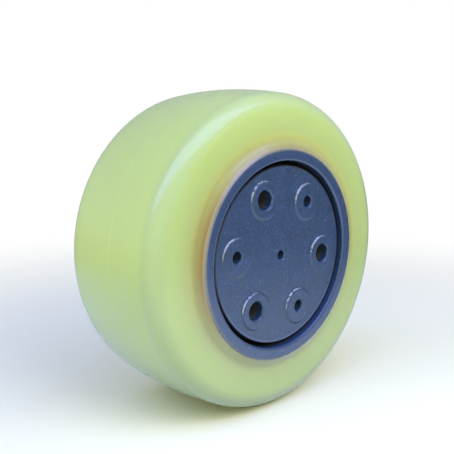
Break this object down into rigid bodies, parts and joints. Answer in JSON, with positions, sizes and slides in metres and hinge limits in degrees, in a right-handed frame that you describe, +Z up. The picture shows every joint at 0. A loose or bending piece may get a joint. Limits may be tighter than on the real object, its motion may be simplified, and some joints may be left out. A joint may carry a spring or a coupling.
{
  "type": "industrial drive wheel",
  "caption": "Wide drive wheel with a bonded translucent polyurethane tyre on a cast rim that turns round a still hub disc with raised, tapped mounting pads.",
  "frame": {"origin": "centre of the wheel, on the axle's line at the middle of the hub's width", "axes": "+Y along the axle from the hub disc's face to the driving face, +Z up, +X to the right seen from the hub disc's side"},
  "size_m": [0.25, 0.114, 0.2499],
  "materials": {
    "polyurethane": "translucent yellow-green cast polyurethane, glossy",
    "casting_paint": "blue-grey satin paint over machined cast iron",
    "hub_paint": "blue-grey satin paint over fine cast skin",
    "bearing_steel": "ground bearing steel",
    "roller_steel": "polished bearing steel",
    "cage_steel": "pressed steel sheet",
    "seal_rubber": "black moulded rubber",
    "washer_steel": "bright steel sheet",
    "nut_steel": "blackened steel",
    "cap_paint": "blue-grey satin paint",
    "gasket_sheet": "dark gasket sheet",
    "screw_steel": "zinc-plated steel"
  },
  "bodies": {
    "hub": {"hub_flange": "hub_paint", "front_bearing_inner_ring": "bearing_steel", "rear_bearing_inner_ring": "bearing_steel", "tab_washer": "washer_steel", "lock_nut": "nut_steel"},
    "wheel": {"tyre": "polyurethane", "wheel_casting": "casting_paint", "front_bearing_outer_ring": "bearing_steel", "rear_bearing_outer_ring": "bearing_steel", "shaft_seal": "seal_rubber", "rear_cap": "cap_paint", "cap_gasket": "gasket_sheet", "cap_screws": "screw_steel"},
    "front_roller_set": {"front_bearing_rollers": "roller_steel", "front_bearing_cage": "cage_steel"},
    "rear_roller_set": {"rear_bearing_rollers": "roller_steel", "rear_bearing_cage": "cage_steel"}
  },
  "joints": [
    {"name": "wheel_spin", "type": "hinge", "parent": "hub", "child": "wheel", "pos_m": [0, 0, 0], "axis": [0, 1, 0], "continuous": true},
    {"name": "front_rollers_orbit", "type": "hinge", "parent": "hub", "child": "front_roller_set", "pos_m": [0, 0, 0], "axis": [0, 1, 0], "continuous": true},
    {"name": "rear_rollers_orbit", "type": "hinge", "parent": "hub", "child": "rear_roller_set", "pos_m": [0, 0, 0], "axis": [0, 1, 0], "continuous": true}
  ],
  "couplings": [
    {"joint": "front_rollers_orbit", "follows": "wheel_spin", "ratio": 0.57194},
    {"joint": "rear_rollers_orbit", "follows": "wheel_spin", "ratio": 0.57194}
  ]
}
